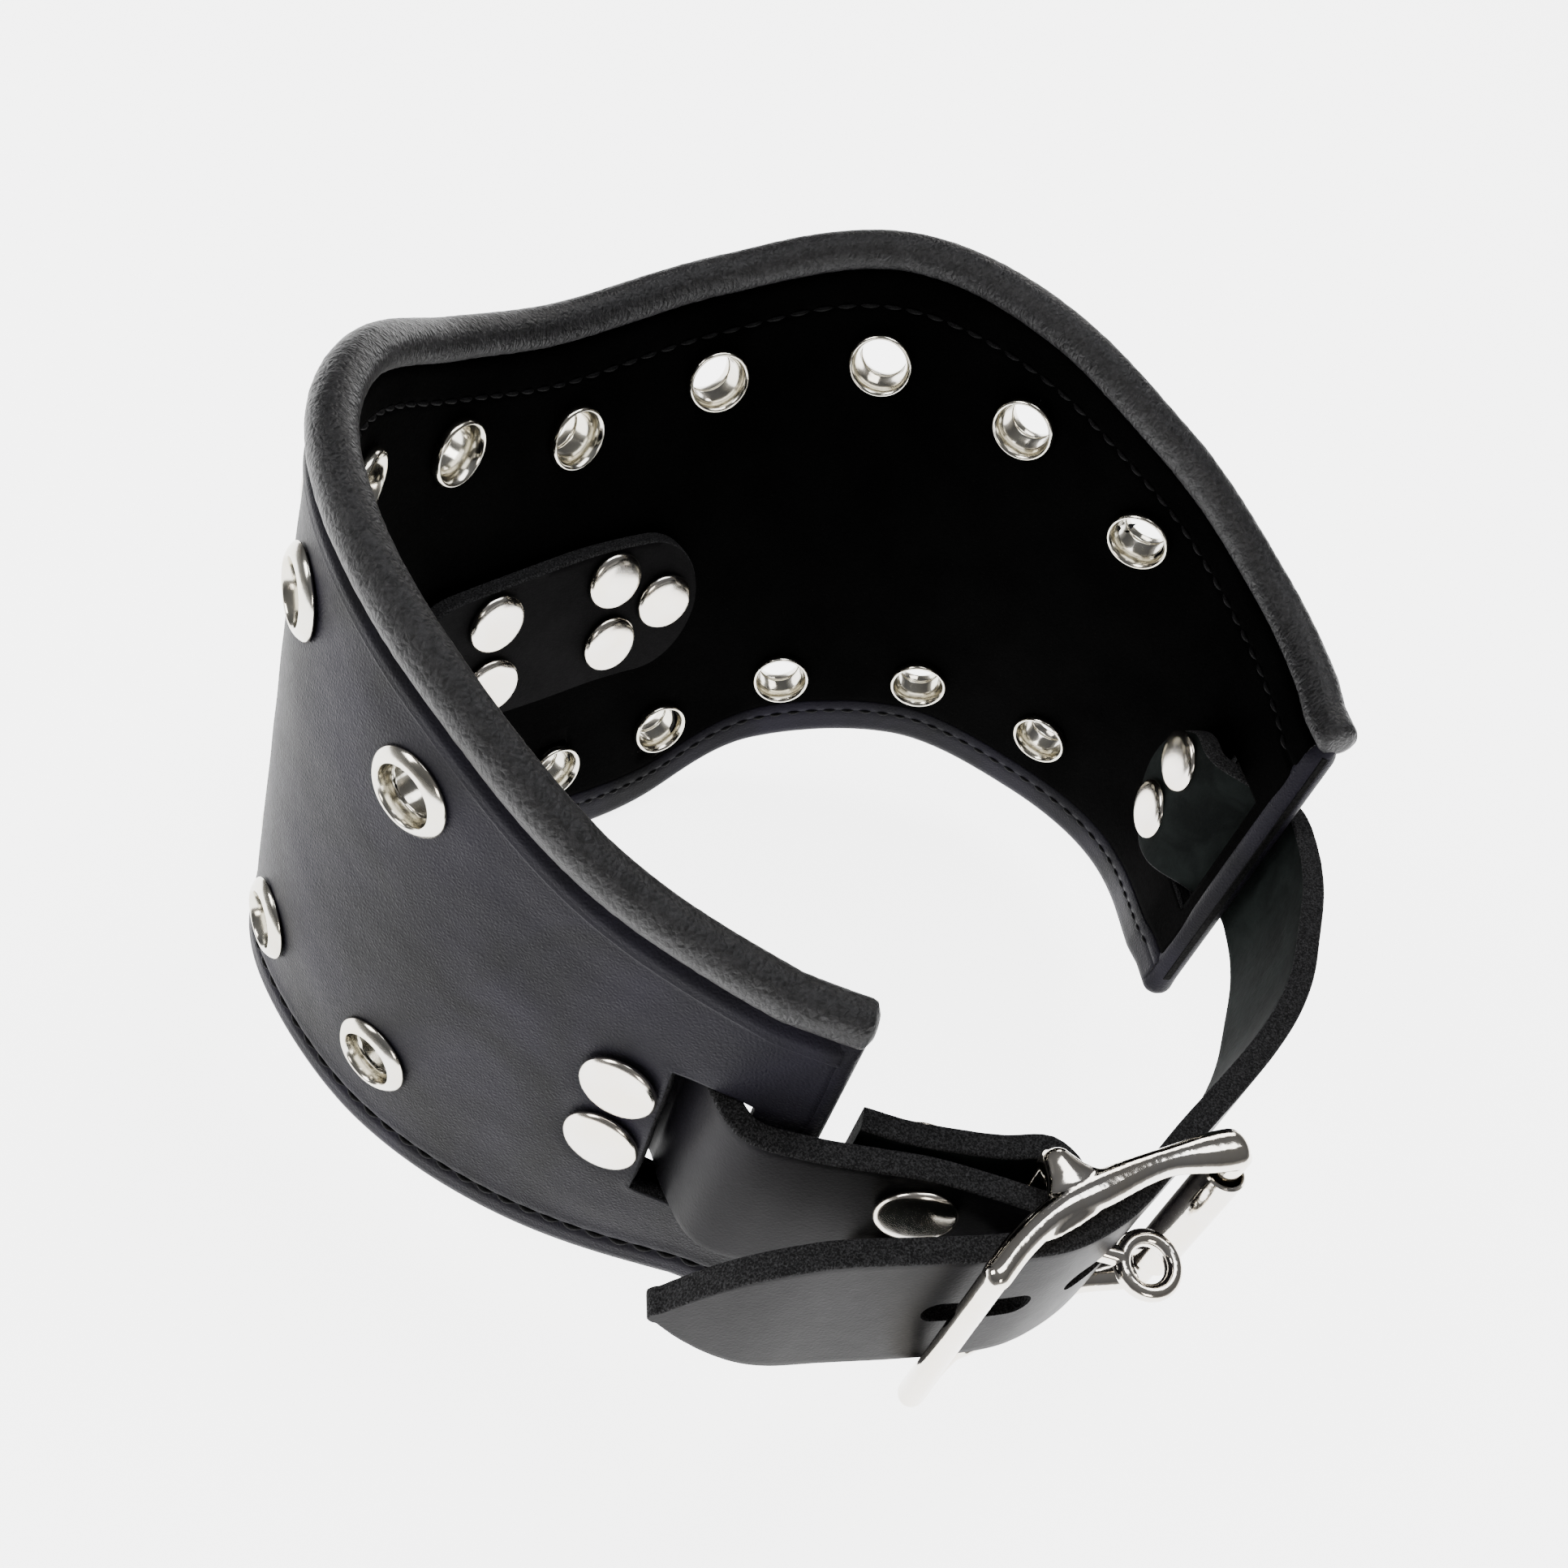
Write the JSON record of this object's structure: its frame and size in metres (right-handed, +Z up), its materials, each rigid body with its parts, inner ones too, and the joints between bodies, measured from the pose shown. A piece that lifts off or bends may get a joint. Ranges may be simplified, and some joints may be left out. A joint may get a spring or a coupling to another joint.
{
  "type": "wide leather neck collar",
  "caption": "Wide contoured leather neck collar with rolled edges, open metal eyelets and a strap closed by a centre-bar locking buckle.",
  "frame": {"origin": "under the middle of the object's bounding box, at the height of its lowest edge", "axes": "+Z up along the wearer's neck, -Y towards the throat, closure and buckle on the +Y side"},
  "size_m": [0.1533, 0.1558, 0.1169],
  "materials": {
    "outer_leather": "satin black grained leather",
    "stiffener": "plain firm leather",
    "lining": "matte black lining leather",
    "rolled_edge": "soft black garment leather with fine wrinkles",
    "inner_band": "matte black strap leather",
    "strap": "smooth black strap leather with raw cut edges",
    "eyelet": "polished nickel plate",
    "rivet": "polished nickel plate",
    "buckle": "polished cast nickel"
  },
  "bodies": {
    "root": {"outer_leather": "outer_leather", "stiffener": "stiffener", "lining": "lining", "top_rolled_edge": "rolled_edge", "bottom_rolled_edge": "rolled_edge", "inner_band": "inner_band", "billet_strap": "strap", "chape_strap": "strap", "top_eyelet_1": "eyelet", "top_eyelet_2": "eyelet", "top_eyelet_3": "eyelet", "top_eyelet_4": "eyelet", "top_eyelet_5": "eyelet", "top_eyelet_6": "eyelet", "top_eyelet_7": "eyelet", "top_eyelet_8": "eyelet", "top_eyelet_9": "eyelet", "bottom_eyelet_1": "eyelet", "bottom_eyelet_2": "eyelet", "bottom_eyelet_3": "eyelet", "bottom_eyelet_4": "eyelet", "bottom_eyelet_5": "eyelet", "bottom_eyelet_6": "eyelet", "bottom_eyelet_7": "eyelet", "bottom_eyelet_8": "eyelet", "bottom_eyelet_9": "eyelet", "chape_anchor_rivet_1": "rivet", "chape_anchor_rivet_2": "rivet", "billet_anchor_rivet_1": "rivet", "billet_anchor_rivet_2": "rivet", "band_rivet_1": "rivet", "band_rivet_2": "rivet", "band_rivet_3": "rivet", "band_rivet_4": "rivet", "band_rivet_5": "rivet", "band_rivet_6": "rivet", "fold_rivet_1": "rivet", "fold_rivet_2": "rivet"},
    "buckle": {"buckle_frame": "buckle"},
    "tongue": {"buckle_tongue": "buckle"},
    "roller": {"buckle_roller": "buckle"}
  },
  "joints": [
    {"name": "buckle_swing", "type": "hinge", "parent": "root", "child": "buckle", "pos_m": [0.03132, 0.05855, 0.05437], "axis": [0, 0, 1], "range_deg": [-1.5, 1.5]},
    {"name": "tongue_swing", "type": "hinge", "parent": "buckle", "child": "tongue", "pos_m": [0.03132, 0.05855, 0.05437], "axis": [0, 0, 1], "range_deg": [-6, 1.5]},
    {"name": "roller_spin", "type": "hinge", "parent": "buckle", "child": "roller", "pos_m": [0.00973, 0.07225, 0.05437], "axis": [0, 0, 1], "continuous": true}
  ]
}
